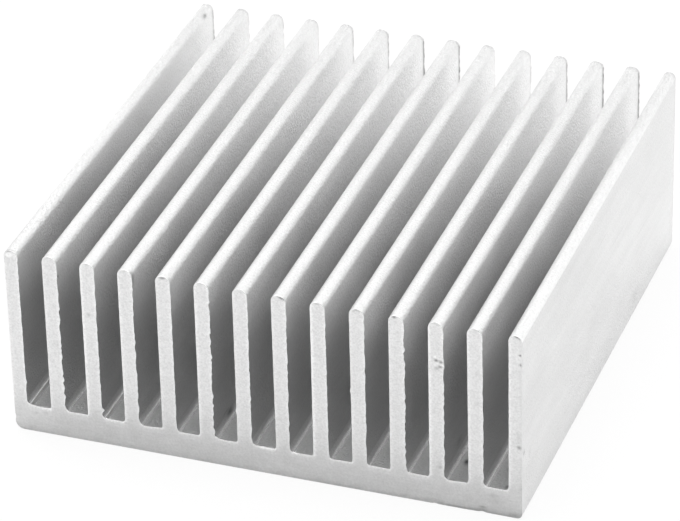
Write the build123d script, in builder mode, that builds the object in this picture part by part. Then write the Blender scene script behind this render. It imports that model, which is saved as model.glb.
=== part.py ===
"""Finned heat sink: one length of extruded aluminium, sawn square at both ends.

X runs across the fins, Y along them and Z up from the flat underside. The origin is the
middle of the underside. Lengths are in millimetres.
"""

import os

from build123d import *

# Overall size
width = 60.0  # across the fins
length = 61.0  # along the fins, from one saw cut to the other
height = 23.7  # from the underside to the fin tips

# Section
base_thickness = 3.5
fin_count = 14  # the two flanks included
fin_thickness = 1.7
flank_thickness = 1.65  # the outermost fins are a little thinner than those between them

# Radii that the die leaves on the section
tip_radius = 0.74  # both corners of each fin tip, which leaves it almost half round
root_radius = 0.45  # both corners of each channel floor
corner_radius = 0.8  # the two long corners of the underside

# Largest share of a wall that the radius of one of its corners may take
radius_share = 0.45

# Worked out from the sizes above
fin_height = height - base_thickness
flank_spacing = width - flank_thickness
fin_pitch = flank_spacing / (fin_count - 1)
channel_width = fin_pitch - fin_thickness
thinnest_fin = min(fin_thickness, flank_thickness)


def fin_row(count, spacing, thickness):
    """Draw fins that stand on the base, evenly spaced about the middle of the section."""
    with Locations((0, base_thickness)):
        with GridLocations(spacing, 0, count, 1):
            Rectangle(thickness, fin_height, align=(Align.CENTER, Align.MIN))


def round_corners(corners, radius, wall):
    """Round section corners, with the radius kept within its share of the wall they are on."""
    fillet(corners, min(radius, radius_share * wall))


with BuildPart() as heat_sink:
    # The section is drawn in the XZ plane: the sketch's own Y is the height
    with BuildSketch(Plane.XZ) as section:
        Rectangle(width, base_thickness, align=(Align.CENTER, Align.MIN))
        fin_row(fin_count - 2, fin_pitch, fin_thickness)
        fin_row(2, flank_spacing, flank_thickness)

        # Corners in rows from the bottom: underside, channel floors, fin tips
        underside_corners, root_corners, tip_corners = section.vertices().group_by(Axis.Y)
        round_corners(tip_corners, tip_radius, thinnest_fin)
        round_corners(root_corners, root_radius, channel_width)
        round_corners(underside_corners, corner_radius, base_thickness)
    extrude(amount=length / 2, both=True)

heat_sink.part.label = "heat_sink"

os.makedirs("parts", exist_ok=True)
export_step(heat_sink.part, "parts/heat_sink.step")
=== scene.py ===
"""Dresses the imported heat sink: one length of bare aluminium extrusion, sawn at both ends.

X runs across the fins, Y along them, Z up from the flat underside. The cut end that the camera
sees lies at the low end of Y. Lengths are in metres, written as millimetres times MM. Dents and
spots are listed in plain millimetres, because each is a place and a reach.
"""

import logging
import math
from collections.abc import Sequence
from dataclasses import dataclass, field
from enum import Enum
from typing import Optional

import bpy
import numpy as np
from mathutils import Matrix, Vector
from numpy.typing import NDArray


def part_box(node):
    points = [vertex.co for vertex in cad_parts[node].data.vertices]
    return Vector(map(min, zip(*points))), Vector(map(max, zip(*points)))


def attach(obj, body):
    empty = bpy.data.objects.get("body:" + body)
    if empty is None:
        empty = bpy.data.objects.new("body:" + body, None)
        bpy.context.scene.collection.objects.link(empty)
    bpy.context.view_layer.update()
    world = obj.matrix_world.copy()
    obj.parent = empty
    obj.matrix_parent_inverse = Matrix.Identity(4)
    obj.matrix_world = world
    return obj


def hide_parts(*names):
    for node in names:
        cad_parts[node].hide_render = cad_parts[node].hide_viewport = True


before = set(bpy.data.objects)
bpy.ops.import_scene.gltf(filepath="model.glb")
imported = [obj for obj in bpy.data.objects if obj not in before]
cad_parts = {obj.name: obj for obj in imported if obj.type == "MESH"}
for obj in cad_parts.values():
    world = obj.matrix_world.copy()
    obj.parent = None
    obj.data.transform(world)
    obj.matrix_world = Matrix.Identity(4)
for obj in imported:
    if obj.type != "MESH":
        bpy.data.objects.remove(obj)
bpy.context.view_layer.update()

Array = NDArray[np.float64]
Index = NDArray[np.int64]
Socket = bpy.types.NodeSocket
Pair = tuple[float, float]
Triple = tuple[float, float, float]
Row = tuple[float, ...]

MM = 0.001
NODE = "heat_sink"
TIP_GAP = 0.12 * MM  # the photographed tips are this much lower than the solid's

log = logging.getLogger("heat_sink")


def smooth(t: Array) -> Array:
    """A smooth step, 3 t^2 - 2 t^3, for t from 0 to 1."""
    return 3 * t**2 - 2 * t**3


def fade(distance: Array, reach: float) -> Array:
    """How much is left at a distance: exp(-(distance / reach)^2)."""
    return np.exp(-((distance / reach) ** 2))


def joined(base: Array, fins: Array) -> Array:
    """Values for the base and for the fins above their foot row, in the order of the numbers."""
    return np.concatenate([base.ravel(), fins.ravel()])


def quads(grid: Index) -> Index:
    """Corners of each cell of a grid of point numbers."""
    low, high = grid[..., :-1, :], grid[..., 1:, :]
    return np.stack([low[..., :-1], low[..., 1:], high[..., 1:], high[..., :-1]], -1).reshape(-1, 4)


def smooth_noise(places: Array, spacing: float, seed: int) -> Array:
    """Noise along a line: random heights at even knots, joined by smooth steps.

    Between two knots the value is a + (b - a) * (3 t^2 - 2 t^3), where t runs from 0 to 1.

    Args:
        places: positions along the line.
        spacing: distance between two knots.
        seed: picks the random heights.

    Returns:
        Values between -1 and 1, one for each place.
    """
    steps = (places - places.min()) / spacing
    low = np.floor(steps).astype(int)
    heights = np.random.default_rng(seed).uniform(-1.0, 1.0, low.max() + 2)
    return heights[low] + (heights[low + 1] - heights[low]) * smooth(steps - low)


class End(Enum):
    """The two sawn ends, with the sign of Y at each."""

    NEAR = -1
    FAR = 1


# The first seed at each end, and what is added to it for each kind of noise
SEEDS = {End.NEAR: 100, End.FAR: 300}
FINE_SEED, FLOOR_SEED, UNDER_SEED, TIP_SEED = 50, 97, 98, 99


@dataclass(frozen=True)
class FinForm:
    """How one fin departs from the drawing.

    Its half thickness gains foot at the root and tip at the top. It moves sideways by shift, and
    its tip by lean more.
    """

    foot: float = 0.0
    tip: float = 0.0
    lean: float = 0.0
    shift: float = 0.0


@dataclass(frozen=True)
class Dent:
    """A nick or bulge, in millimetres: points move by push times exp(-(distance / reach)^2)."""

    place: Triple
    reach: float
    push: Triple


@dataclass(frozen=True)
class Spot:
    """A small mark in a finish, in millimetres, fading as exp(-|distance / reach|^2).

    A tone below zero is a dark pit, down to -1. A tone above zero is a bright raised fleck.
    """

    place: Triple
    reach: Triple
    tone: float


@dataclass
class Lips:
    """How far burrs and worn edges move the section's outline at one station.

    Left, right and forward hold one row for each fin and one column for each row of the fin. Left
    and right are positive outwards. Forward is along Y, out of the cut face, at the fins' right
    edges. Tip holds one value for each fin, floor and under one for each column of the base.
    """

    left: Array
    right: Array
    forward: Array
    tip: Array
    floor: Array
    under: Array


@dataclass
class Section:
    """The comb section of the extrusion, as a grid of columns across X and rows up Z.

    Under the floor of the channels the rows belong to the base, and above it to one fin each.
    The base's top row follows the channel floors and their root radii, with a small ledge where
    the die drew a line along each left root. Each fin's top row follows its rounded tip.
    """

    # Shape
    width: float
    height: float
    base: float = 3.5 * MM
    fin_count: int = 14
    fin_thickness: float = 1.7 * MM
    flank_thickness: float = 1.65 * MM
    tip_radius: float = 0.81 * MM
    left_root: float = 0.5 * MM
    right_root: Pair = (0.25 * MM, 0.5 * MM)
    left_corner: float = 1.0 * MM
    right_corner: float = 0.55 * MM
    dish: float = 0.04 * MM
    ledge: Pair = (0.025 * MM, 0.01 * MM)
    ridge_reach: float = 0.1 * MM
    forms: dict[int, FinForm] = field(default_factory=dict)

    # Grid
    arc_steps: int = 5
    flat_steps: int = 3
    base_shares: Row = (0.0, 0.04, 0.1, 0.2, 0.35, 0.55, 0.75, 0.9, 0.97, 1.0)
    fin_rows: int = 90

    # Tone of the cut faces: bright worn edges with a painted highlight, painted light and shade by
    # height, and painted shade along the lower edge. Each of under_rows holds a row of the base,
    # the share of the lower edge's painted shade that it takes, how uneven it is, and the spacing
    # and seed of its noise.
    rim_reach: float = 0.24 * MM
    left_rim: float = 0.5
    left_rims: dict[int, float] = field(default_factory=dict)
    right_rim: float = 0.5
    flank_rim: float = -0.2
    floor_rim: float = 0.8
    base_shade: float = 0.065
    fin_sheen: float = 0.29
    fin_sheen_rise: float = 1.5 * MM
    under_places: Row = (0.0, 0.5, 0.75, 1.0)
    under_painted_shade: Row = (0.08, 0.12, 0.2, 0.42)
    under_rows: tuple[tuple[int, float, float, float, int], ...] = (
        (1, 1.0, 0.5, 0.9 * MM, 7),
        (2, 0.5, 0.8, 0.7 * MM, 8),
    )
    lowest_share: float = 0.6

    # Painted light and shade of the skin, and the burnished lines along the channels' left roots
    flank_shade: float = 0.1
    flank_rise: float = 0.6
    deep_shade: float = 0.19
    deep_start: float = 2 * MM
    deep_run: float = 6 * MM
    floor_painted_light: float = 0.2
    strip_depths: Row = (0.5 * MM, 2 * MM, 5 * MM, 9 * MM, 14 * MM)
    strip_shares: Row = (0.2, 0.75, 1.0, 0.9, 0.0)
    root_lines: Row = (2.0, 1.2, 1.9, 1.6, 1.5, 1.5, 1.3, 1.5, 1.5, 1.5, 1.5, 1.5, 1.7)
    line_shares: Row = (0.2, 1.0, 1.0, 0.2)

    def __post_init__(self) -> None:
        """Work out the counts, places and indices that every station shares.

        The root radius at a channel's right is the first of right_root, up to the channel two
        thirds across, and grows evenly from there to the second at the last channel.
        """
        count = self.fin_count
        self.cells = 2 * self.arc_steps + self.flat_steps
        self.base_rows = len(self.base_shares) - 1
        self.columns = (2 * count - 1) * self.cells + 1
        self.rise = np.linspace(0, 1, self.fin_rows + 1)
        self.depth = (self.height - self.base) * (1 - self.rise[1:])

        # Columns of the base under each fin and each channel, one row for each
        starts = 2 * self.cells * np.arange(count)
        self.under_fin = starts[:, None] + np.arange(self.cells + 1)
        self.under_channel = self.under_fin[:-1, -1:] + np.arange(self.cells + 1)

        self.thickness = np.full(count, self.fin_thickness)
        self.thickness[[0, -1]] = self.flank_thickness
        shape = [self.forms.get(number, FinForm()) for number in range(count)]
        self.foot = np.array([form.foot for form in shape])
        self.swell = np.array([form.tip for form in shape])
        self.lean = np.array([form.lean for form in shape])
        spread = self.width - self.flank_thickness
        self.centres = np.linspace(-spread / 2, spread / 2, count)
        self.centres += np.array([form.shift for form in shape])
        radius = np.full(count, self.tip_radius)
        self.from_left, self.tip_lost = self.across(self.thickness, radius, radius)
        self.from_right = self.thickness[:, None] - self.from_left
        order = np.linspace(0, 1, count - 1)
        self.root_left = np.full(count - 1, self.left_root)
        self.root_right = np.interp(order, [0, 2 / 3, 1], [self.right_root[0], *self.right_root])

    def across(self, span: Array, left: Array, right: Array) -> tuple[Array, Array]:
        """Columns across a fin or a channel whose two corners are round.

        In a corner the distance from the edge is r (1 - cos a) and the height lost is
        r (1 - sin a), for a from 0 to 90 degrees. Between the corners the columns are even.

        Args:
            span: thickness of each fin, or width of each channel.
            left: radius of each left corner.
            right: radius of each right corner.

        Returns:
            Distances from the left edge and the heights lost, one row for each span.
        """
        angle = np.linspace(0, np.pi / 2, self.arc_steps + 1)
        out, down = 1 - np.cos(angle), 1 - np.sin(angle)
        inner = np.linspace(0, 1, self.flat_steps + 1)[1:-1]
        span, left, right = span[:, None], left[:, None], right[:, None]
        middle = left + inner * (span - left - right)
        places = np.concatenate([left * out, middle, span - right * out[::-1]], axis=1)
        return places, np.concatenate([left * down, 0 * middle, right * down[::-1]], axis=1)

    def corner(self, columns: Array) -> Array:
        """Height of the underside: r - sqrt(r^2 - s^2), for a column that is s into a corner.

        Args:
            columns: places across X.

        Returns:
            The height at each column.
        """
        left = np.clip(self.left_corner - (columns - columns[0]), 0, None)
        right = np.clip(self.right_corner - (columns[-1] - columns), 0, None)
        left_rise = self.left_corner - np.sqrt(self.left_corner**2 - left**2)
        return left_rise + self.right_corner - np.sqrt(self.right_corner**2 - right**2)

    def grid(self, lips: Lips) -> tuple[Array, Array]:
        """Places of all grid points at one station along the extrusion.

        A channel's floor is dished by dish times 1 - s^2, with s from -1 to 1 across it. A fin's
        half thickness and its lean change evenly from its foot to its tip.

        Args:
            lips: how far burrs and worn edges move the outline there.

        Returns:
            Points of the base, as rows by columns by (x, z), and of the fins, as fins by rows
            by columns by (x, z). The fins' lowest row is the base's top row.
        """
        half_foot = self.thickness / 2 + self.foot
        left = self.centres - half_foot - lips.left[:, 0]
        right = self.centres + half_foot + lips.right[:, 0]
        share = 2 * self.from_left / self.thickness[:, None] - 1
        channel, root_lost = self.across(left[1:] - right[:-1], self.root_left, self.root_right)

        columns, top = np.empty(self.columns), np.empty(self.columns)
        middle, half = (left + right) / 2, (right - left) / 2
        columns[self.under_fin] = middle[:, None] + share * half[:, None]
        columns[self.under_channel] = right[:-1, None] + channel
        left_foot = np.concatenate([self.root_left[:1], self.root_right])[:, None]
        right_foot = np.concatenate([self.root_left, self.root_right[-1:]])[:, None]
        top[self.under_fin] = self.base + left_foot + (right_foot - left_foot) * (share + 1) / 2
        s = np.linspace(-1, 1, self.cells + 1)
        top[self.under_channel] = self.base + root_lost - self.dish * (1 - s**2)
        top[self.under_channel[:, self.arc_steps - 1 : self.arc_steps + 1]] += self.ledge
        top += lips.floor

        bottom = self.corner(columns) + lips.under
        rows = np.array(self.base_shares)[:, None]
        base = np.stack(np.broadcast_arrays(columns, bottom + rows * (top - bottom)), axis=-1)

        up = self.rise[None, :, None]
        swelling = self.foot[:, None] * (1 - self.rise) + self.swell[:, None] * self.rise
        half = self.thickness[:, None] / 2 + swelling
        wall = np.where(share[:, None, :] > 0, lips.right[:, :, None], lips.left[:, :, None])
        reach = half[:, :, None] + wall
        middle = self.centres[:, None, None] + self.lean[:, None, None] * up
        x = middle + share[:, None, :] * reach
        foot = top[self.under_fin][:, None, :]
        z = foot + up * (self.height - self.tip_lost[:, None, :] - foot + lips.tip[:, None, None])
        return base, np.stack(np.broadcast_arrays(x, z), axis=-1)

    def numbering(self) -> tuple[Index, Index]:
        """Number of each grid point.

        Returns:
            Numbers shaped as the base's grid and as the fins', whose foot row is the base's.
        """
        base = np.arange((self.base_rows + 1) * self.columns).reshape(-1, self.columns)
        shape = (self.fin_count, self.fin_rows, self.cells + 1)
        above = base.size + np.arange(np.prod(shape)).reshape(shape)
        foot = base[-1][self.under_fin][:, None, :]
        return base, np.concatenate([foot, above], axis=1)

    def outline(self) -> Index:
        """Go round the section.

        Returns:
            Numbers of the outer grid points, anticlockwise as the camera sees the near end.
        """
        base, fins = self.numbering()
        runs = [base[0], base[1:, -1]]
        for number in range(self.fin_count - 1, -1, -1):
            fin = fins[number]
            runs += [fin[1:, -1], fin[-1, -2::-1], fin[-2:0:-1, 0]]
            start = self.under_fin[number, 0]
            floor = base[-1, start - self.cells + 1 : start + 1]
            runs.append(floor[::-1] if number else base[-1, :1])
        runs.append(base[-2:0:-1, 0])
        return np.concatenate(runs)

    def points(self, lips: Lips) -> Array:
        """All grid points at one station, in the order of their numbers, as (x, z)."""
        base, fins = self.grid(lips)
        return np.concatenate([base.reshape(-1, 2), fins[:, 1:].reshape(-1, 2)])

    def empty(self) -> tuple[Array, Array]:
        """Zeros for each grid point of the base and of the fins above their foot row."""
        shape = (self.fin_count, self.fin_rows, self.cells + 1)
        return np.zeros((self.base_rows + 1, self.columns)), np.zeros(shape)

    def rim(self) -> Array:
        """Worn edges between a cut face and the channels: their wear and painted highlight.

        It fades as exp(-(distance / reach)^2). The left edges differ from fin to fin, and the
        edge at the outer wall at the right is dark.

        Returns:
            A value for each grid point.
        """
        base, fins = self.empty()
        left = [self.left_rims.get(number, self.left_rim) for number in range(self.fin_count)]
        right = [self.right_rim] * (self.fin_count - 1) + [self.flank_rim]
        edges = np.array(left)[:, None] * fade(self.from_left, self.rim_reach)
        edges += np.array(right)[:, None] * fade(self.from_right, self.rim_reach)
        fins += edges[:, None, :]
        depth = self.base * (1 - np.array(self.base_shares))
        below = fade(depth, self.rim_reach)[:, None, None]
        base[:, self.under_channel] = self.floor_rim * below
        base[:, self.under_fin] = edges * below
        base[:, -1] = self.flank_rim
        return joined(base, fins)

    def sheen(self) -> Array:
        """Painted light and shade of the cut face by height: painted shade darkens the base towards
        its bottom, and painted light brightens the fins.

        On the base it is -a (1 - (z / b)^3), where b is the base's height, and on the fins
        c (1 - exp(-(z - b) / d)).

        Returns:
            A value for each grid point.
        """
        base, fins = self.empty()
        # Painted shade on the base, most at the bottom, and painted light on the fins
        base -= self.base_shade * (1 - np.array(self.base_shares)[:, None] ** 3)
        above = self.rise[1:] * (self.height - self.base)
        fins += self.fin_sheen * (1 - np.exp(-above / self.fin_sheen_rise))[None, :, None]
        return joined(base, fins)

    def underline(self) -> Array:
        """Painted shade along the rounded lower edge of a cut face, more to the right.

        Returns:
            A value for each grid point.
        """
        base, fins = self.empty()
        across = np.linspace(0, self.width, self.columns)
        dark = np.interp(across / self.width, self.under_places, self.under_painted_shade)
        for row, share, uneven, spacing, seed in self.under_rows:
            base[row] = share * dark * (1 + uneven * smooth_noise(across, spacing, seed))
        base[0] = self.lowest_share * base[1]
        return joined(base, fins)

    def burnished(self) -> Array:
        """Wear along the line that the die drew at each channel's left root, above 1 at its middle.

        Returns:
            A value for each grid point.
        """
        base, fins = self.empty()
        columns = self.under_channel[:, self.arc_steps - 2 : self.arc_steps + 2]
        base[-1, columns] = np.outer(self.root_lines, self.line_shares)
        return joined(base, fins)

    def skin_shade(self) -> Array:
        """Painted light and shade of the skin round the section.

        The outer walls have a little painted shade, more towards their tops. So have the channels'
        walls, more with the depth d: the share is 3 t^2 - 2 t^3, t = (d - 2 mm) / 6 mm, held
        between 0 and 1. The channels' floors have a little painted light.

        Returns:
            A value for each grid point.
        """
        base, fins = self.empty()
        t = np.clip((self.depth - self.deep_start) / self.deep_run, 0, 1)
        # Painted shade deeper down the channel walls and at the fins' feet, and painted light on
        # the floors
        fins[:, :, [0, -1]] = -self.deep_shade * smooth(t)[None, :, None]
        base[-1, self.under_channel] = self.floor_painted_light
        base[-1, self.under_fin] = -self.deep_shade
        # Painted shade on both outer walls, more towards their tops
        flank = -self.flank_shade * (1 + self.flank_rise * self.rise[1:])
        fins[0, :, 0] = fins[-1, :, -1] = flank
        base[:, [0, -1]] = -self.flank_shade
        return joined(base, fins)

    def tip_strip(self, first: int, last: int) -> Array:
        """Mark a strip along the fins' tips.

        Args:
            first: the strip's first column of each fin.
            last: its last column.

        Returns:
            One for each grid point in the strip and zero for the others.
        """
        base, fins = self.empty()
        fins[:, -1, first : last + 1] = 1.0
        return joined(base, fins)

    def upper_walls(self) -> Array:
        """Mark the strip of painted light along the channels' upper walls, by depth below the tips.

        Returns:
            The strip's share at each grid point.
        """
        base, fins = self.empty()
        share = np.interp(self.depth, self.strip_depths, self.strip_shares)
        fins[:, :, [0, -1]] = share[None, :, None]
        fins[:, -1, :] = 0.0
        fins[-1, :, -1] = fins[0, :, 0] = 0.0
        return joined(base, fins)

    def right_edges(self, dark: Array, tip: float) -> Array:
        """Put values on the fins' right walls and on their tips.

        Args:
            dark: the value for each fin's right wall.
            tip: the value for every tip.

        Returns:
            A value for each grid point.
        """
        base, fins = self.empty()
        fins[:, -1, :] = tip
        fins[:, :, -1] = dark[:, None]
        base[-1, self.under_fin[:, -1]] = dark
        return joined(base, fins)

    def ridge(self, forward: Array) -> Array:
        """How far each grid point stands out of the cut face.

        The ridge is full at a fin's right edge and fades as exp(-(distance / reach)^2).

        Args:
            forward: how far it stands out at the edge, for each fin and row.

        Returns:
            A length for each grid point.
        """
        fins = fade(self.from_right, self.ridge_reach)[:, None, :] * forward[:, :, None]
        base = self.empty()[0]
        base[-1, self.under_fin] = fins[:, 0]
        return joined(base, fins[:, 1:])

    def cells_of_end(self) -> Index:
        """Quads that fill the section, wound so that they face the low end of Y."""
        base, fins = self.numbering()
        return np.concatenate([quads(base), quads(fins)])


@dataclass
class SawnEdge:
    """The edge that the saw left round one end: a ragged burr where the blade came out of each fin.

    The blade moved towards +X, so it rounded each fin's left edge and threw a burr at its right.
    A worn edge is a quarter round: its shift is worn times 1 - sqrt(1 - (1 - depth / reach)^2).
    A burr stands out as exp(-depth / reach). Burrs holds each fin's mean burr where it isn't burr,
    and rough how many times as ragged as the others a fin's right edge is. Each pair called
    uneven holds the shares that the broad and the fine noise along an edge have there.
    """

    section: Section
    end: End
    worn: float = 0.1 * MM
    worn_mean: float = 0.85
    worn_uneven: Pair = (0.35, 0.2)
    worn_reach: float = 0.12 * MM
    worn_flank: float = 0.4
    flank_uneven: float = 0.3
    worn_tip: float = 0.04 * MM
    tip_range: Pair = (0.7, 1.3)
    worn_under: float = 0.05 * MM
    under_uneven: float = 0.4
    under_tooth: float = 1.2 * MM
    burr: float = 0.085 * MM
    burr_reach: float = 0.06 * MM
    burr_uneven: Pair = (0.6, 0.4)
    ragged: float = 0.07 * MM
    ragged_floor: float = 0.14 * MM
    floor_tooth: float = 0.5 * MM
    forward: float = 0.04 * MM
    forward_uneven: Pair = (0.3, 0.5)
    tooth: float = 0.5 * MM
    rough: dict[int, float] = field(default_factory=dict)
    burrs: dict[int, float] = field(default_factory=dict)

    def __post_init__(self) -> None:
        """Draw the noise along every edge once.

        A fin's edges share one broad and one fine noise. The fine noise has half the spacing.
        """
        section = self.section
        height = section.rise * (section.height - section.base)
        seed = SEEDS[self.end]
        numbers = range(section.fin_count)
        broad = np.array([smooth_noise(height, self.tooth, seed + number) for number in numbers])
        first, half = seed + FINE_SEED, 0.5 * self.tooth
        fine = np.array([smooth_noise(height, half, first + number) for number in numbers])

        def uneven(shares: Pair) -> Array:
            """Sum of the broad and the fine noise, each times its share."""
            return shares[0] * broad + shares[1] * fine

        burr = np.array([self.burrs.get(number, self.burr) for number in numbers])
        rough = np.array([self.rough.get(number, 1.0) for number in numbers])
        right = burr[:, None] + rough[:, None] * self.ragged * uneven(self.burr_uneven)
        self.right = np.clip(right, 0, None)
        self.left = -self.worn * (self.worn_mean + uneven(self.worn_uneven))
        self.forward_out = self.forward * (1.0 + uneven(self.forward_uneven))
        self.right[-1] = -self.worn * (self.worn_flank + self.flank_uneven * broad[-1])
        self.forward_out[-1] = 0.0

        across = np.linspace(0, section.width, section.columns)
        inner = section.under_channel[:, 1:-1]
        self.floor = np.zeros(section.columns)
        floor = self.ragged_floor * smooth_noise(across, self.floor_tooth, seed + FLOOR_SEED)
        self.floor[inner] = floor[inner]
        under = self.under_uneven * smooth_noise(across, self.under_tooth, seed + UNDER_SEED)
        self.under = self.worn_under * (1.0 + under)
        tips = np.random.default_rng(seed + TIP_SEED).uniform(*self.tip_range, section.fin_count)
        self.tip = -self.worn_tip * tips

    def at(self, depth: float) -> Lips:
        """Outline shift behind the cut face.

        Args:
            depth: distance from the face along Y.

        Returns:
            The shift. A tip whose wear is below zero stands out and fades as a burr does.
        """
        share = min(depth / self.worn_reach, 1.0)
        round_off = 1 - math.sqrt(1 - (1 - share) ** 2)
        flare = math.exp(-depth / self.burr_reach)
        return Lips(
            left=self.left * round_off,
            right=self.right * np.where(self.right > 0, flare, round_off),
            forward=self.forward_out * (depth == 0),
            tip=self.tip * (round_off if self.worn_tip > 0 else flare),
            floor=self.floor * flare,
            under=self.under * round_off,
        )


@dataclass
class Extrusion:
    """The heat sink's whole surface: the section carried along Y, with a grid face on each end.

    The painted light and shade of the upper walls, the painted shade of the tips' left strips and
    the painted highlight of their right strips are given at places along Y. A strip of the tips is
    its first and last column of each fin.
    """

    section: Section
    length: float
    edges: dict[End, SawnEdge]
    dents: Sequence[Dent]
    near_depths: Row = (0.0, 0.03, 0.07, 0.12, 0.2, 0.35, 0.7, 2.0)
    far_depths: Row = (0.0, 0.03, 0.07, 0.15, 0.3, 0.6, 2.0)
    middle: Row = (-12 * MM, 8 * MM, 21 * MM)
    rim_depth: float = 0.06 * MM
    # Painted shade on the fins' tips and right walls near the far end, fading over this depth
    dark_depth: float = 0.3 * MM
    far_tip_painted_shade: float = 0.22
    far_edge_painted_shade: float = 0.12
    far_edges_painted_shade: dict[int, float] = field(default_factory=dict)
    # Painted light and shade along Y at these places: on the upper walls, mostly painted light
    # towards the far end; on the tips' left strips painted shade; on their right strips a painted
    # highlight
    painted_light_places: Row = (-28.5 * MM, -12 * MM, 8 * MM, 21 * MM, 28.5 * MM)
    wall_painted_light: Row = (0.0, -0.05, 0.25, 1.1, 0.1)
    # The tips' left strips get painted shade, their right strips a painted highlight
    left_strip: tuple[int, int] = (1, 3)
    left_painted_shade: Row = (-0.28, -0.1, -0.04, -0.06, -0.08)
    right_strip: tuple[int, int] = (5, 12)
    right_painted_highlight: Row = (0.55, 0.5, 0.3, 0.1, 0.0)
    sharp: float = math.radians(38)

    def stations(self) -> Array:
        """Space the rings, close together at both ends and wide apart between them.

        Returns:
            Places along Y.
        """
        low = -self.length / 2 + MM * np.array(self.near_depths)
        high = self.length / 2 - MM * np.array(self.far_depths)[::-1]
        return np.concatenate([low, self.middle, high])

    def points_at(self, y: float) -> Array:
        """Place the section's grid points.

        Args:
            y: the station.

        Returns:
            Points as (x, y, z).
        """
        end = End.NEAR if y < 0 else End.FAR
        lips = self.edges[end].at(self.length / 2 - abs(y))
        flat = self.section.points(lips)
        along = y + end.value * self.section.ridge(lips.forward)
        return np.column_stack([flat[:, 0], along, flat[:, 1]])

    def surface(self) -> tuple[Array, Index, Index, Array]:
        """Carry the outline along Y and close both ends.

        Returns:
            Points, quads, for each quad 1 where it lies on a sawn end and 0 elsewhere, and each
            point's wear and painted light and shade.
        """
        stations = self.stations()
        outline = self.section.outline()
        near, far = self.points_at(stations[0]), self.points_at(stations[-1])
        between = [self.points_at(y)[outline] for y in stations[1:-1]]
        points = np.concatenate([near, far, *between])

        inner = 2 * len(near) + np.arange(len(between) * len(outline)).reshape(-1, len(outline))
        rings = np.concatenate([outline[None], inner, len(near) + outline[None]])
        around = np.roll(rings, -1, axis=1)
        skin = np.stack([rings[:-1], rings[1:], around[1:], around[:-1]], axis=-1).reshape(-1, 4)
        end = self.section.cells_of_end()
        quads = np.concatenate([skin, end, len(near) + end[:, ::-1]])
        sawn = np.repeat([0, 1, 1], [len(skin), len(end), len(end)])
        return points, quads, sawn, self.wear_and_painted_light(stations[1:-1], outline)

    def wear_and_painted_light(self, stations: Array, outline: Index) -> Array:
        """Wear, and painted light and shade, of the two cut faces and of the skin.

        The edges between a cut face and the channels are bright, as wear with a painted highlight,
        and fade into the skin as exp(-(distance / reach)^2). So is the burnished line along each
        channel's left root. A cut face has painted light and shade by height and painted shade
        along its lower edge, and the fins' right walls and tips have painted shade at the far end.
        Strips of painted light and shade along the upper walls and the tips change along Y, and the
        walls and channel floors get painted shade and light of their own.

        Args:
            stations: places along Y between the two faces.
            outline: numbers of the grid points round the section.

        Returns:
            A value for each of the surface's points: -1 is the dark of soil and painted shade, 0
            plain metal, 1 the bright of wear and painted light, and 2 burnished.
        """
        section = self.section
        rim = section.rim()
        # Cut faces: worn edges with a painted highlight, painted light and shade by height, and
        # painted shade along the lower edge
        on_face = rim + (1 - rim) * section.sheen() - section.underline()
        y = stations[:, None]
        behind = fade(self.length / 2 - np.abs(y), self.rim_depth) * rim[outline]
        bright = np.maximum(behind, section.burnished()[outline])
        # Painted shade on the fins' right walls and tips near the far end
        dark = [self.far_edges_painted_shade.get(number, self.far_edge_painted_shade) for number in range(section.fin_count)]
        dark = section.right_edges(np.array(dark), self.far_tip_painted_shade)[outline]
        on_skin = bright - dark * (1 + bright) * fade(self.length / 2 - y, self.dark_depth)
        # Strips of painted light and shade along the upper walls and the tips
        strips = (
            (section.upper_walls(), self.wall_painted_light),
            (section.tip_strip(*self.left_strip), self.left_painted_shade),
            (section.tip_strip(*self.right_strip), self.right_painted_highlight),
        )
        for strip, along in strips:
            on_skin += np.interp(y, self.painted_light_places, along) * strip[outline]
        # Painted shade on the walls and painted light on the channel floors
        on_skin += section.skin_shade()[outline]
        return np.concatenate([on_face, on_face, on_skin.ravel()])

    def dented(self, points: Array) -> Array:
        """Push the points near each dent, and none of them below the floor.

        Args:
            points: places as (x, y, z).

        Returns:
            The places after all pushes.
        """
        moved = points.copy()
        for dent in self.dents:
            distance = np.linalg.norm(points - MM * np.array(dent.place), axis=1)
            moved += fade(distance, MM * dent.reach)[:, None] * MM * np.array(dent.push)
        moved[:, 2] = np.maximum(moved[:, 2], 0.0)
        return moved

    def build(
        self, name: str, mill: bpy.types.Material, sawn: bpy.types.Material
    ) -> bpy.types.Object:
        """Make the closed mesh and give its skin and its ends their finishes.

        Args:
            name: name of the piece.
            mill: finish of the extruded skin.
            sawn: finish of the two cut ends.

        Returns:
            The piece, standing in place at the origin.
        """
        points, quads, on_end, wear_and_painted_light = self.surface()
        mesh = bpy.data.meshes.new(name)
        mesh.from_pydata(self.dented(points).tolist(), [], quads.tolist())
        mesh.materials.append(mill)
        mesh.materials.append(sawn)
        mesh.polygons.foreach_set("material_index", on_end)
        mesh.attributes.new("wear_and_painted_light", "FLOAT", "POINT").data.foreach_set("value", wear_and_painted_light)
        mesh.shade_smooth()
        mesh.set_sharp_from_angle(angle=self.sharp)
        mesh.validate()
        piece = bpy.data.objects.new(name, mesh)
        bpy.context.scene.collection.objects.link(piece)
        return piece


# Noise mostly keeps between these, so they are taken as its ends
NOISE_ENDS = (0.3, 0.7)

# Knots of the wobbling noise in the length that a spot's edge wobbles by
WOBBLE_KNOTS = 2.2


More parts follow.
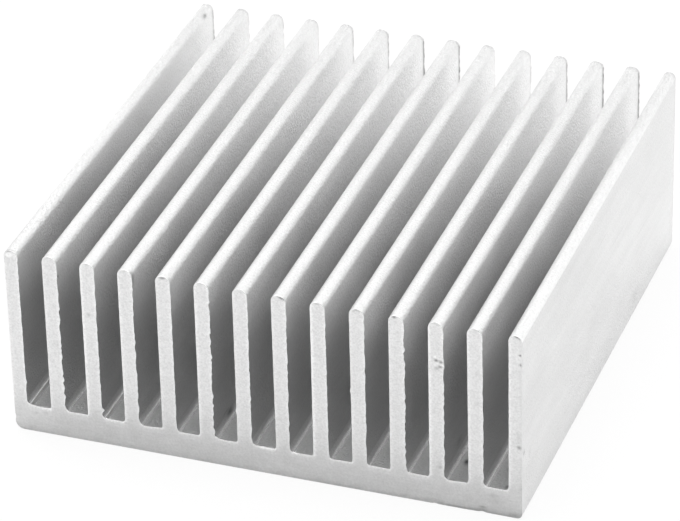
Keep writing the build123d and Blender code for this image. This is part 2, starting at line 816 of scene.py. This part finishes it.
class Nodes:
    """The node tree of a material or the world, with short calls for the nodes that they share."""

    def __init__(self, owner: bpy.types.ID, output: str = "OutputMaterial") -> None:
        """Start a tree that holds only its output.

        Args:
            owner: the material or world.
            output: type of its output node.
        """
        self.owner = owner
        owner.use_nodes = True
        self.tree = owner.node_tree
        self.tree.nodes.clear()
        self.output = self.add(output)

    def add(self, kind: str, inputs: Optional[dict] = None, **settings: object) -> bpy.types.Node:
        """Add a node.

        Args:
            kind: Blender's name of the node's type, without its ShaderNode prefix.
            inputs: sockets to link and values to set, by socket name or number.
            settings: the node's own properties.

        Returns:
            The node.
        """
        node = self.tree.nodes.new("ShaderNode" + kind)
        for key, value in settings.items():
            setattr(node, key, value)
        for key, value in (inputs or {}).items():
            if isinstance(value, bpy.types.NodeSocket):
                self.tree.links.new(value, node.inputs[key])
            else:
                node.inputs[key].default_value = value
        return node

    def math(self, operation: str, *values: object) -> Socket:
        """A sum, product or other step between values."""
        return self.add("Math", dict(enumerate(values)), operation=operation).outputs["Value"]

    def vector(self, operation: str, *values: object, output: str = "Vector") -> Socket:
        """A sum, product or other step between vectors."""
        return self.add("VectorMath", dict(enumerate(values)), operation=operation).outputs[output]

    def object_place(self, wobble: float = 0.0) -> Socket:
        """Object coordinates.

        Args:
            wobble: the most that noise moves them about, so that spots come out uneven.

        Returns:
            The coordinates.
        """
        place = self.add("TexCoord").outputs["Object"]
        if not wobble:
            return place
        noise = {"Vector": place, "Scale": WOBBLE_KNOTS / wobble, "Detail": 2.0}
        around = self.add("TexNoise", noise).outputs["Color"]
        moved = self.vector("MULTIPLY_ADD", around, (2 * wobble,) * 3, (-wobble,) * 3)
        return self.vector("ADD", place, moved)

    def noise(self, scale: Triple, detail: float, turn: Triple = (0.0, 0.0, 0.0)) -> Socket:
        """Noise on Object coordinates, stretched along the axes.

        Args:
            scale: knots in a metre along each axis.
            detail: how many finer layers it has.
            turn: angles that turn its knots off the axes, but not its stretch.

        Returns:
            Values between about 0 and 1.
        """
        mapping = {"Vector": self.object_place(), "Scale": scale, "Rotation": turn}
        place = self.add("Mapping", mapping).outputs["Vector"]
        noise = {"Vector": place, "Scale": 1.0, "Detail": detail}
        return self.add("TexNoise", noise).outputs["Fac"]

    def ramp(self, value: Socket, low: float, high: float, start: float, end: float) -> Socket:
        """Map a value between low and high to start and end, and hold it there outside."""
        inputs = {"Value": value, "From Min": low, "From Max": high, "To Min": start, "To Max": end}
        return self.add("MapRange", inputs).outputs["Result"]

    def blend(self, shares: dict[Socket, float]) -> Socket:
        """Add up values.

        Args:
            shares: what each value is multiplied by.

        Returns:
            The sum.
        """
        total: object = 0.0
        for value, share in shares.items():
            total = self.math("MULTIPLY_ADD", value, share, total)
        return total

    def mix(self, share: Socket, first: object, second: object) -> Socket:
        """Mix two colours. The node's inputs 6 and 7 and its output 2 are those for colours.

        Args:
            share: how much of the second there is.
            first: a colour or a socket.
            second: a colour or a socket.

        Returns:
            The colour between them.
        """
        node = self.add("Mix", data_type="RGBA")
        for number, value in ((0, share), (6, first), (7, second)):
            if isinstance(value, bpy.types.NodeSocket):
                self.tree.links.new(value, node.inputs[number])
            else:
                node.inputs[number].default_value = (*value, 1.0)
        return node.outputs[2]

    def spots(self, spots: Sequence[Spot], wobble: float) -> Socket:
        """Sum over the spots of tone times exp(-|(place - middle) / reach|^2).

        Args:
            spots: the spots.
            wobble: how far their edges are moved about.

        Returns:
            The sum.
        """
        place = self.object_place(wobble)
        total: object = 0.0
        for spot in spots:
            scale = [1 / (MM * reach) for reach in spot.reach]
            middle = [-at / reach for at, reach in zip(spot.place, spot.reach)]
            away = self.vector("MULTIPLY_ADD", place, scale, middle)
            square = self.vector("DOT_PRODUCT", away, away, output="Value")
            left = self.math("POWER", math.exp(-1), square)
            total = self.math("MULTIPLY_ADD", left, spot.tone, total)
        return total

    def rays(self, seen: float, reflected: float, fallen: float = 0.0) -> Socket:
        """Pick a value by kind of ray.

        Args:
            seen: the value for the camera's rays.
            reflected: the value for rays that come by way of metal or glass.
            fallen: the value for the others.

        Returns:
            The value for each ray.
        """
        kinds = self.add("LightPath").outputs
        shares = {kinds["Is Camera Ray"]: seen - fallen}
        for kind in ("Is Glossy Ray", "Is Transmission Ray"):
            shares[kinds[kind]] = reflected - fallen
        return self.math("ADD", self.blend(shares), fallen)

    def finish(self, shader: bpy.types.Node) -> bpy.types.ID:
        """Send a shader to the output and return the material or world."""
        self.tree.links.new(shader.outputs[0], self.output.inputs["Surface"])
        return self.owner


@dataclass(frozen=True)
class Finish:
    """What the mill and sawn finishes share: tones, gloss, relief, spots, wear and painted light.

    Wear below zero turns to soil, and painted shade does too. Wear up to 1 turns to bright, and
    painted light does too, times a pattern that lies between the two flecks. Wear above 1 is
    burnished: less rough, with little relief left.
    """

    name: str
    pale: Triple
    dull: Triple
    roughness: Pair
    relief: float
    spots: Sequence[Spot] = ()
    # The dark colour of soil and painted shade, and the bright colour of wear and painted light
    soil_and_shade: Triple = (0.10, 0.10, 0.10)
    bright: Triple = (0.97, 0.97, 0.97)
    glint: Triple = (0.97, 0.97, 0.97)
    burnish: float = 0.5
    burnished_relief: float = 0.05
    wobble: float = 0.12 * MM
    spot_relief: float = 0.05 * MM
    metallic: float = 0.88
    fleck_ends: Pair = (0.25, 0.75)
    flecks: Pair = (0.3, 1.5)

    def shader(
        self, nodes: Nodes, tone: Socket, gloss: Socket, height: Socket, fleck: Socket
    ) -> bpy.types.Node:
        """Put a metal together from its patterns.

        Args:
            nodes: the material's nodes.
            tone: pattern of the colour, from dull to pale.
            gloss: pattern of the roughness.
            height: pattern of the relief.
            fleck: pattern of how strongly bright wear and painted light show.

        Returns:
            The metal's shader.
        """
        wear_and_painted_light = nodes.add("Attribute", attribute_name="wear_and_painted_light").outputs["Fac"]
        spots = nodes.spots(self.spots, self.wobble)
        colour = nodes.mix(nodes.ramp(tone, *NOISE_ENDS, 0.0, 1.0), self.dull, self.pale)
        patchy = nodes.ramp(fleck, *self.fleck_ends, *self.flecks)
        # Wear and painted light above zero turn towards bright; below zero, soil and painted shade
        worn = nodes.math("MULTIPLY", nodes.ramp(wear_and_painted_light, 0.0, 1.0, 0.0, 1.0), patchy)
        colour = nodes.mix(worn, colour, self.bright)
        colour = nodes.mix(nodes.ramp(wear_and_painted_light, 0.0, -1.0, 0.0, 1.0), colour, self.soil_and_shade)
        colour = nodes.mix(nodes.ramp(spots, 0.0, 1.0, 0.0, 1.0), colour, self.glint)
        colour = nodes.mix(nodes.ramp(spots, 0.0, -1.0, 0.0, 1.0), colour, self.soil_and_shade)
        full = nodes.blend({height: 1.0, spots: self.spot_relief / self.relief})
        depth = nodes.ramp(wear_and_painted_light, 1.0, 2.0, 1.0, self.burnished_relief)
        bump = nodes.add("Bump", {"Height": full, "Distance": self.relief, "Strength": depth})
        rough = nodes.ramp(gloss, *NOISE_ENDS, *self.roughness)
        rough = nodes.math("MULTIPLY", rough, nodes.ramp(wear_and_painted_light, 1.0, 2.0, 1.0, 1 - self.burnish))
        inputs = {"Base Color": colour, "Metallic": self.metallic, "Roughness": rough}
        return nodes.add("BsdfPrincipled", {**inputs, "Normal": bump.outputs["Normal"]})


@dataclass(frozen=True)
class MillFinish(Finish):
    """Skin of the extrusion: fine lines drawn along Y by the die spread its sheen across them."""

    name: str = "mill_finish_aluminium"
    pale: Triple = (0.90, 0.90, 0.90)
    dull: Triple = (0.735, 0.735, 0.735)
    roughness: Pair = (0.31, 0.37)
    relief: float = 0.15 * MM
    grain: float = 0.25 * MM
    line_width: float = 0.12 * MM
    line_length: float = 45 * MM
    band_width: float = 0.9 * MM
    band_length: float = 22.5 * MM
    cloud_scale: Triple = (220.0, 120.0, 220.0)
    anisotropy: float = 1.0
    quarter_turn: float = 0.25

    def material(self) -> bpy.types.Material:
        """Build the material. Noise stretched along Y gives the die lines, fine and broad.

        Returns:
            The material.
        """
        nodes = Nodes(bpy.data.materials.new(self.name))
        across = 1 / self.line_width
        lines = nodes.noise((across, 1 / self.line_length, across), detail=3.0)
        across = 1 / self.band_width
        bands = nodes.noise((across, 1 / self.band_length, across), detail=2.0)
        clouds = nodes.noise(self.cloud_scale, detail=3.0)
        grain = nodes.noise((1 / self.grain,) * 3, detail=3.0)
        tone = nodes.blend({bands: 0.2, clouds: 0.3, grain: 0.5})
        gloss = nodes.blend({lines: 0.3, clouds: 0.7})
        height = nodes.blend({lines: 0.006, bands: 0.01, grain: 1.0})
        shader = self.shader(nodes, tone, gloss, height, grain)

        way = nodes.add("CombineXYZ", {"X": 0.0, "Y": 1.0, "Z": 0.0}).outputs[0]
        turn = {"vector_type": "VECTOR", "convert_from": "OBJECT", "convert_to": "WORLD"}
        tangent = nodes.add("VectorTransform", {"Vector": way}, **turn).outputs[0]
        nodes.tree.links.new(tangent, shader.inputs["Tangent"])
        shader.inputs["Anisotropic"].default_value = self.anisotropy
        shader.inputs["Anisotropic Rotation"].default_value = self.quarter_turn
        return nodes.finish(shader)


@dataclass(frozen=True)
class SawnFinish(Finish):
    """Cut ends: a fine matt grain with faint strokes of the blade."""

    name: str = "sawn_aluminium"
    pale: Triple = (0.69, 0.69, 0.69)
    dull: Triple = (0.525, 0.525, 0.525)
    # The bright colour of worn edges and painted light on the cut faces
    bright: Triple = (0.85, 0.85, 0.85)
    roughness: Pair = (0.30, 0.42)
    relief: float = 0.008 * MM
    grain: float = 0.2 * MM
    stroke_width: float = 0.35 * MM
    stroke_length: float = 2.8 * MM
    turn: float = math.radians(24)
    cloud_scale: float = 500.0

    def material(self) -> bpy.types.Material:
        """Build the material. Plain noise is the grain, and noise stretched along X the strokes.

        Returns:
            The material.
        """
        nodes = Nodes(bpy.data.materials.new(self.name))
        grain = nodes.noise((1 / self.grain,) * 3, detail=3.0)
        scale = (1 / self.stroke_length, 1.0, 1 / self.stroke_width)
        strokes = nodes.noise(scale, detail=2.0, turn=(0.0, self.turn, 0.0))
        clouds = nodes.noise((self.cloud_scale,) * 3, detail=3.0)
        tone = nodes.blend({grain: 0.5, clouds: 0.25, strokes: 0.25})
        height = nodes.blend({grain: 1.0, strokes: 1.2})
        return nodes.finish(self.shader(nodes, tone, clouds, height, grain))


@dataclass(frozen=True)
class SoftBox:
    """A square lamp that hangs at a place and faces the object."""

    name: str
    place: Triple
    side: float
    radiance: float

    def hang(self) -> None:
        """Make the lamp. Its power is pi times its area times its radiance."""
        lamp = bpy.data.lights.new(self.name, "AREA")
        lamp.shape = "SQUARE"
        lamp.size = self.side
        lamp.energy = math.pi * self.side**2 * self.radiance
        holder = bpy.data.objects.new(self.name, lamp)
        holder.location = self.place
        holder.rotation_mode = "QUATERNION"
        holder.rotation_quaternion = (-Vector(self.place)).to_track_quat("-Z", "Y")
        bpy.context.scene.collection.objects.link(holder)


@dataclass
class Studio:
    """White floor, white surroundings and soft lamps.

    The camera and the metal's reflections see the surroundings white, and the floor lightened to
    white with part of its shadow left. Light that falls on the floor and the matt part of the
    metal comes from the room at its own strength, and from the lamps.
    """

    floor_side: float = 6.0
    floor_tone: Triple = (0.93, 0.93, 0.93)
    room_strength: float = 1.0
    white: float = 1.0
    shadow_seen: float = 0.12
    shadow_reflected: float = 0.9
    bounces: int = 24
    diffuse_bounces: int = 8
    boxes: tuple[SoftBox, ...] = (
        SoftBox("high_box", (-0.2, 0.2, 1.2), 0.8, 2.53),
        SoftBox("low_box", (0.5, 1.1, 0.35), 0.6, 0.95),
        SoftBox("left_box", (-1.0, 0.5, 0.4), 0.8, 1.07),
    )

    def floor_material(self) -> bpy.types.Material:
        """White matt floor, mixed with even white for the rays that show it.

        Returns:
            The material.
        """
        nodes = Nodes(bpy.data.materials.new("white_floor"))
        matt = nodes.add("BsdfDiffuse", {"Color": (*self.floor_tone, 1.0)}).outputs[0]
        glow = {"Color": (1.0, 1.0, 1.0, 1.0), "Strength": self.white}
        white = nodes.add("Emission", glow).outputs[0]
        share = nodes.rays(1 - self.shadow_seen, 1 - self.shadow_reflected)
        return nodes.finish(nodes.add("MixShader", {0: share, 1: matt, 2: white}))

    def room(self) -> bpy.types.World:
        """Even white surroundings.

        Returns:
            The world.
        """
        nodes = Nodes(bpy.data.worlds.new("studio_room"), "OutputWorld")
        strength = nodes.rays(self.white, self.white, self.room_strength)
        glow = {"Color": (1.0, 1.0, 1.0, 1.0), "Strength": strength}
        return nodes.finish(nodes.add("Background", glow))

    def build(self) -> None:
        """Lay the floor, light the room and hang the lamps.

        Light goes down a channel and out again by many reflections, so that many are followed.
        """
        half = self.floor_side / 2
        corners = half * np.array([[-1, -1, 0], [1, -1, 0], [1, 1, 0], [-1, 1, 0]])
        mesh = bpy.data.meshes.new("studio_floor")
        mesh.from_pydata(corners.tolist(), [], [[0, 1, 2, 3]])
        mesh.materials.append(self.floor_material())
        floor = bpy.data.objects.new("studio_floor", mesh)
        scene = bpy.context.scene
        scene.collection.objects.link(floor)
        scene.world = self.room()
        scene.cycles.max_bounces = scene.cycles.glossy_bounces = self.bounces
        scene.cycles.diffuse_bounces = self.diffuse_bounces
        for box in self.boxes:
            box.hang()


@dataclass(frozen=True)
class PhotoCamera:
    """The photograph's viewpoint: a long lens, from the front right and above."""

    target: Triple = (0.0, 0.0, 11.75 * MM)
    azimuth: float = math.radians(20.0903)
    elevation: float = math.radians(31.2729)
    roll: float = math.radians(-1.376)
    distance: float = 490.405 * MM
    slide: Pair = (1.467 * MM, 1.533 * MM)
    focal_pixels: float = 4240.74
    picture_width: float = 680.0
    sensor: float = 36.0
    clip: Pair = (10 * MM, 20.0)

    def place(self) -> None:
        """Aim the camera.

        It looks back along (sin a cos e, -cos a cos e, sin e) at the target, then slides in its
        own picture plane and is turned by the roll.
        """
        sine, cosine = math.sin(self.azimuth), math.cos(self.azimuth)
        level = math.cos(self.elevation)
        back = Vector((sine * level, -cosine * level, math.sin(self.elevation)))
        flat = Vector((cosine, sine, 0.0))
        upright = back.cross(flat)
        right = math.cos(self.roll) * flat + math.sin(self.roll) * upright
        up = math.cos(self.roll) * upright - math.sin(self.roll) * flat
        spot = Vector(self.target) + self.distance * back
        spot -= self.slide[0] * right + self.slide[1] * up

        lens = bpy.data.cameras.new("photo_camera")
        lens.sensor_width = self.sensor
        lens.lens = self.focal_pixels * self.sensor / self.picture_width
        lens.clip_start, lens.clip_end = self.clip
        camera = bpy.data.objects.new("photo_camera", lens)
        turned = Matrix((right, up, back)).transposed().to_4x4()
        camera.matrix_world = Matrix.Translation(spot) @ turned
        bpy.context.scene.collection.objects.link(camera)
        bpy.context.scene.camera = camera


# How single fins, counted from 0 at the left, depart from the others
FORMS = {
    0: FinForm(foot=-0.04 * MM, tip=-0.04 * MM, shift=-0.09 * MM),
    7: FinForm(foot=-0.06 * MM),
    8: FinForm(foot=0.05 * MM),
    9: FinForm(foot=-0.03 * MM),
    10: FinForm(foot=0.05 * MM),
    12: FinForm(lean=-0.1 * MM),
    13: FinForm(foot=-0.04 * MM, tip=-0.04 * MM, lean=-0.03 * MM, shift=0.04 * MM),
}

# By fin: brightness of the left edges, worn and with a painted highlight, how ragged the near
# right edges are, and how much painted shade the far ones have
LEFT_RIMS = {0: 0.2, 2: 1.1, 3: 0.8, 5: 0.8, 8: 1.2, 11: 1.1, 12: 0.8, 13: 0.8}
NEAR_ROUGH = {1: 2.4, 3: 1.9, 5: 3.0, 6: 1.3, 7: 1.25, 9: 1.3, 10: 2.5, 11: 1.6}
FAR_PAINTED_SHADE = {0: 0.45, 4: 0.4, 5: 0.45, 6: 0.65, 7: 0.55, 9: 0.25, 10: 0.5, 11: 0.6, 12: 0.6}

# Burrs at the far end, in millimetres, where they differ from the others there
FAR_BURRS = {0: 0.08, 4: 0.06, 5: 0.07, 6: 0.1, 7: 0.09, 9: 0.05, 10: 0.09, 11: 0.11, 12: 0.11}
FAR_BURR = 0.03 * MM
FAR_TIP = -0.04 * MM  # below zero, so that the tips stand out there

# The near cut face lies at this Y, and marks on it reach this far along Y, in millimetres
FACE = -30.5
FACE_REACH = 1.0

DENTS = (
    Dent((21.1, FACE, 18.3), 0.35, (0.14, -0.08, 0.0)),
    Dent((20.85, FACE, 18.75), 0.25, (-0.1, 0.08, 0.0)),
    Dent((10.35, FACE, 12.9), 0.22, (-0.12, 0.0, 0.0)),
    Dent((-3.1, FACE, 7.6), 0.25, (-0.1, 0.0, 0.0)),
    Dent((-28.35, FACE, 6.5), 0.22, (0.16, 0.0, 0.08)),
    Dent((-23.9, FACE, 5.4), 0.24, (0.28, 0.0, 0.08)),
    Dent((-19.3, FACE, 4.45), 0.25, (0.34, 0.0, 0.12)),
    Dent((-30.0, FACE, 1.55), 0.25, (0.08, 0.05, 0.0)),
    Dent((29.95, FACE, 19.9), 0.2, (-0.08, 0.1, 0.0)),
    Dent((29.9, FACE, 8.9), 0.3, (-0.06, 0.06, 0.0)),
    Dent((25.47, FACE, 0.05), 0.35, (0.0, 0.0, 0.12)),
    Dent((20.0, FACE, 0.05), 0.3, (0.0, 0.0, 0.08)),
)

# Marks on the near cut face: place across and up, reach across and up, and tone
FACE_MARKS = (
    # Dark arcs and dashes at the fin tips
    (-29.95, 23.24, 0.16, 0.18, -0.6),
    (-29.77, 23.47, 0.22, 0.14, -0.95),
    (-29.45, 23.56, 0.25, 0.13, -0.7),
    (-29.15, 23.54, 0.2, 0.09, -0.3),
    (-29.44, 23.04, 0.42, 0.28, 0.9),
    (-29.44, 23.04, 0.18, 0.1, -0.7),
    (-24.6, 23.52, 0.25, 0.08, -0.25),
    (-24.3, 23.44, 0.2, 0.08, -0.2),
    (-20.12, 23.44, 0.22, 0.1, -0.3),
    (-15.68, 23.39, 0.28, 0.1, -0.2),
    (-11.3, 23.32, 0.24, 0.13, -0.5),
    (-11.0, 23.37, 0.26, 0.13, -0.45),
    (-6.65, 23.44, 0.3, 0.08, -0.2),
    (-2.2, 23.24, 0.3, 0.08, -0.12),
    (2.25, 23.46, 0.2, 0.08, -0.35),
    (2.55, 23.38, 0.2, 0.13, -0.7),
    (2.8, 23.28, 0.18, 0.12, -0.65),
    (3.05, 23.16, 0.16, 0.11, -0.5),
    (6.83, 23.36, 0.3, 0.12, -0.25),
    (10.97, 23.29, 0.16, 0.1, -0.35),
    (11.29, 23.46, 0.22, 0.09, -0.55),
    (11.6, 23.34, 0.16, 0.1, -0.35),
    (15.58, 23.38, 0.24, 0.17, -0.75),
    (20.12, 23.44, 0.28, 0.08, -0.25),
    (20.6, 23.26, 0.2, 0.08, -0.25),
    (24.61, 23.47, 0.25, 0.08, -0.3),
    (25.05, 23.34, 0.2, 0.08, -0.3),
    (29.15, 23.52, 0.2, 0.1, -0.6),
    (29.42, 23.44, 0.2, 0.12, -0.75),
    (29.7, 23.28, 0.16, 0.12, -0.6),
    # Pits, scuffs and flecks lower down
    (-20.2, 16.9, 0.2, 0.2, -0.35),
    (20.15, 19.15, 0.16, 0.14, 0.9),
    (20.3, 18.75, 0.24, 0.16, -0.75),
    (20.6, 18.95, 0.2, 0.12, 0.7),
    (20.85, 18.6, 0.2, 0.14, -0.7),
    (20.45, 18.35, 0.16, 0.12, 0.8),
    (21.05, 18.25, 0.2, 0.14, 0.95),
    (20.75, 18.0, 0.22, 0.16, -0.6),
    (20.35, 17.75, 0.26, 0.24, -0.35),
    (20.1, 18.2, 0.16, 0.14, 0.6),
    (29.76, 21.18, 0.34, 0.28, 0.5),
    (29.76, 21.18, 0.2, 0.15, -1.2),
    (29.92, 19.95, 0.2, 0.17, -0.8),
    (29.65, 9.35, 0.24, 0.22, -0.6),
    (29.6, 10.6, 0.2, 0.7, -0.12),
    (20.6, 5.0, 0.3, 0.25, -0.3),
    (26.7, 2.5, 0.35, 0.3, -0.18),
    (25.5, 0.75, 0.35, 0.12, -0.45),
    (27.0, 1.9, 0.5, 0.3, -0.12),
    (-27.4, 2.5, 0.35, 0.16, -0.15),
    (-26.2, 2.7, 0.35, 0.25, -0.14),
    (-24.3, 12.2, 0.3, 0.4, -0.12),
    (24.9, 18.0, 0.3, 0.3, -0.12),
    (24.8, 14.0, 0.3, 0.3, -0.1),
)
FACE_SPOTS = tuple(
    Spot((x, FACE, z), (wide, FACE_REACH, high), tone)
    for x, z, wide, high, tone in FACE_MARKS
)

SKIN_SPOTS = (
    # Dark marks behind the edges of the first and eighth fins' tips
    Spot((-29.6, -30.3, 23.62), (0.4, 0.2, 0.3), -0.5),
    Spot((3.2, -30.35, 23.15), (0.2, 0.2, 0.12), -0.5),
    # A nick at the first fin's far end, and marks high on the walls of the second and fourth
    Spot((-28.38, 28.1, 23.35), (0.3, 0.5, 0.3), -1.4),
    Spot((-23.7, -30.15, 20.95), (0.3, 0.3, 0.2), -0.8),
    Spot((-14.86, -30.1, 22.4), (0.3, 0.35, 0.9), -0.5),
    # Smears at the feet of the sixth and twelfth fins, and pits in two channel floors
    Spot((-5.88, -25.5, 3.9), (0.4, 0.9, 0.35), -0.7),
    Spot((-5.88, -26.6, 4.5), (0.4, 0.8, 0.12), -0.4),
    Spot((22.38, -26.5, 3.5), (0.3, 0.5, 0.3), -0.9),
    Spot((28.1, -29.9, 3.5), (0.25, 0.35, 0.3), -0.6),
    Spot((21.05, -25.1, 5.1), (0.3, 0.8, 0.4), -0.3),
    # A bright fleck on the third fin's wall
    Spot((-19.35, -12.2, 20.25), (0.3, 0.4, 0.15), 0.5),
    # Smudge and scratches on the outer wall at the right
    Spot((30.0, 14.0, 2.5), (0.4, 1.6, 0.9), -0.12),
    Spot((30.0, -29.8, 8.3), (0.3, 0.25, 0.3), -0.45),
    Spot((30.0, -27.7, 7.1), (0.3, 0.35, 0.4), -0.15),
    Spot((30.0, 0.1, 18.1), (0.4, 2.2, 0.12), -0.12),
    Spot((30.0, 6.3, 15.0), (0.4, 3.0, 0.1), -0.1),
    Spot((30.0, 16.6, 10.3), (0.4, 2.5, 0.1), -0.1),
)


def main() -> None:
    """Build the camera, the studio and the dressed heat sink, and report each piece."""
    logging.basicConfig(level=logging.INFO, format="%(name)s: %(message)s")
    bpy.context.scene.view_settings.view_transform = "Standard"
    low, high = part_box(NODE)
    size = high - low
    PhotoCamera().place()
    log.info("camera placed")
    Studio().build()
    log.info("studio built")

    section = Section(size.x, size.z - TIP_GAP, forms=FORMS, left_rims=LEFT_RIMS)
    near = SawnEdge(section, End.NEAR, rough=NEAR_ROUGH)
    burrs = {number: burr * MM for number, burr in FAR_BURRS.items()}
    far = SawnEdge(section, End.FAR, burr=FAR_BURR, worn_tip=FAR_TIP, burrs=burrs)
    edges = {End.NEAR: near, End.FAR: far}
    extrusion = Extrusion(section, size.y, edges, DENTS, far_edges_painted_shade=FAR_PAINTED_SHADE)
    mill, sawn = MillFinish(spots=SKIN_SPOTS), SawnFinish(spots=FACE_SPOTS)
    piece = extrusion.build("heat_sink_surface", mill.material(), sawn.material())
    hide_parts(NODE)
    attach(piece, "root")
    log.info("%s: %d faces", piece.name, len(piece.data.polygons))


if __name__ == "__main__":
    main()
